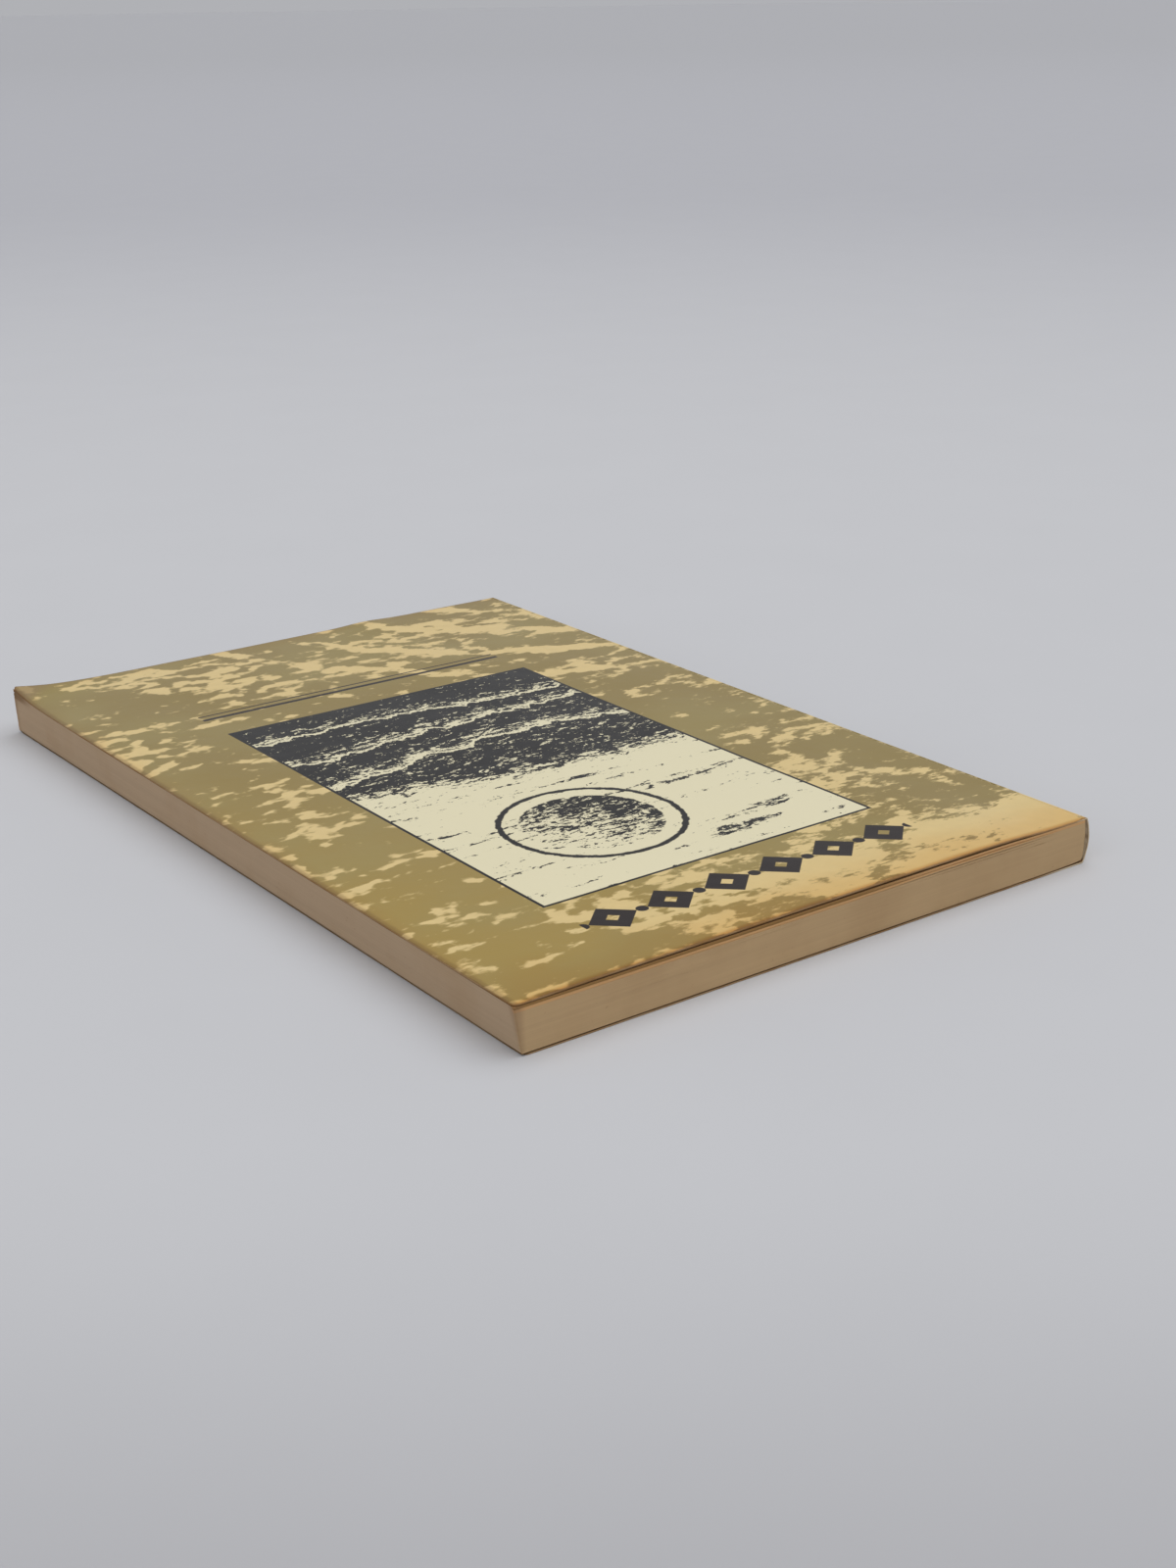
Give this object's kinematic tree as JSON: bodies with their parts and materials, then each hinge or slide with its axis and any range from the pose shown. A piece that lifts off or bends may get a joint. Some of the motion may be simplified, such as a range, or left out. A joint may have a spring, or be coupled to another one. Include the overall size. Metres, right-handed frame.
{
  "type": "paperback book",
  "caption": "Thin paperback book with a wrap-round card cover glued over a rounded spine; it lies on its back cover and both covers open.",
  "frame": {"origin": "middle of the book's footprint, on the surface that it lies on", "axes": "+X from the spine to the fore-edge, +Y from the tail to the head, +Z from the back cover to the front cover"},
  "size_m": [0.1409, 0.216, 0.0117],
  "materials": {
    "cover_print": "satin varnished card, printed in olive and cream, browned at the edges",
    "page_paper": "uncoated paper, tanned at the trimmed edges",
    "binding_glue": "aged hot-melt glue"
  },
  "bodies": {
    "bound_block": {"text_block": "page_paper", "spine_glue": "binding_glue", "spine": "cover_print"},
    "front": {"front_cover": "cover_print"},
    "back": {"back_cover": "cover_print"}
  },
  "joints": [
    {"name": "front_fold", "type": "hinge", "parent": "bound_block", "child": "front", "pos_m": [-0.06878, 0, 0.0098], "axis": [0, -1, 0], "range_deg": [0, 178]},
    {"name": "back_fold", "type": "hinge", "parent": "bound_block", "child": "back", "pos_m": [-0.06828, 0, 0], "axis": [0, 1, 0], "range_deg": [0, 178]}
  ]
}
